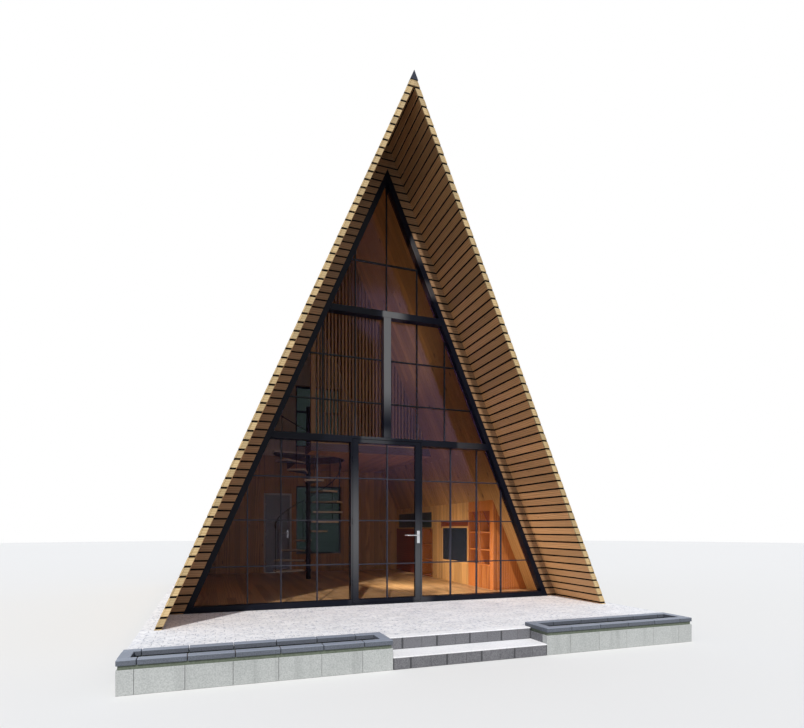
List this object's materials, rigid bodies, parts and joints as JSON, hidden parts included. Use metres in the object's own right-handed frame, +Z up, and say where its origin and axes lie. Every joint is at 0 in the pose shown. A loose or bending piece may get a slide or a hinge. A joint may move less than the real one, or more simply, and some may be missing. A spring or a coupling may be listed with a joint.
{
  "type": "a-frame cabin",
  "caption": "Steep timber-clad A-frame cabin with a glazed steel front, a door, a loft and a spiral stair, on a low block terrace with steps and planters.",
  "frame": {"origin": "on the ground under the middle of the house, in the plane of the face of the glazed front", "axes": "+X to the right as seen from the front, +Y into the house, +Z up"},
  "size_m": [6.6, 9.986, 7.5184],
  "materials": {
    "concrete": "cast, plain",
    "paving": "honed white stone slabs",
    "blocks": "split grey blocks",
    "planter": "pale rendered panels",
    "coping": "dark speckled granite",
    "soil": "bare earth",
    "floor_boards": "oiled boards",
    "roof_core": "dark membrane over a timber and insulation core",
    "cladding": "sawn larch boards, satin oil",
    "soffit": "sawn larch boards, satin oil",
    "cap_metal": "folded sheet, satin",
    "lining": "knotty pine boards",
    "frame_steel": "satin blue-black paint",
    "glazing": "clear double glazing",
    "furniture": "satin stainless",
    "gable_boards": "pine boards",
    "door_frame": "pale satin paint",
    "door_panel": "grey satin paint",
    "loft_boards": "pine boards",
    "screen_slats": "planed pine slats",
    "stair_steel": "dark satin paint",
    "tread_boards": "pale washed oak",
    "joinery": "orange pine joinery",
    "dark_panel": "dark panels"
  },
  "bodies": {
    "cabin": {"plinth": "concrete", "terrace_paving": "paving", "steps": "blocks", "planter_boxes": "planter", "planter_copings": "coping", "planter_soil": "soil", "floor_deck": "floor_boards", "roof_left": "roof_core", "roof_right": "roof_core", "cladding_left": "cladding", "cladding_right": "cladding", "soffits": "soffit", "ridge_cap": "cap_metal", "lining_left": "lining", "lining_right": "lining", "stile_left": "frame_steel", "stile_right": "frame_steel", "upper_transom": "frame_steel", "lower_transom": "frame_steel", "sill": "frame_steel", "mid_mullion": "frame_steel", "door_posts": "frame_steel", "front_glass": "glazing", "gable_wall_left": "gable_boards", "gable_door_head": "gable_boards", "gable_wall_right": "gable_boards", "gable_wall_upper": "gable_boards", "window_frames": "frame_steel", "window_glass": "glazing", "back_door_frame": "door_frame", "loft_floor": "loft_boards", "loft_screen": "screen_slats", "stair_pole": "stair_steel", "stair_treads": "tread_boards", "stair_handrail": "stair_steel", "fitted_wall": "joinery", "wall_shelves": "joinery", "wall_panels": "dark_panel"},
    "front_door": {"door_leaf": "frame_steel", "door_glass": "glazing", "door_plates": "furniture"},
    "front_lever": {"door_lever": "furniture"},
    "back_door": {"back_door_leaf": "door_panel", "back_door_plates": "furniture"},
    "back_lever": {"back_door_lever": "furniture"}
  },
  "joints": [
    {"name": "front_door_swing", "type": "hinge", "parent": "cabin", "child": "front_door", "pos_m": [-0.548, -0.012, 1.477], "axis": [0, 0, -1], "range_deg": [0, 100]},
    {"name": "front_lever_turn", "type": "hinge", "parent": "front_door", "child": "front_lever", "pos_m": [0.505, 0.0275, 1.307], "axis": [0, -1, 0], "range_deg": [0, 40], "stiffness_Nm_per_rad": 3, "springref_deg": -34.38},
    {"name": "back_door_swing", "type": "hinge", "parent": "cabin", "child": "back_door", "pos_m": [-1.279, 5.774, 1.257], "axis": [0, 0, -1], "range_deg": [0, 90]},
    {"name": "back_lever_turn", "type": "hinge", "parent": "back_door", "child": "back_lever", "pos_m": [-0.734, 5.8085, 1.307], "axis": [0, -1, 0], "range_deg": [0, 40], "stiffness_Nm_per_rad": 3, "springref_deg": -34.38}
  ]
}
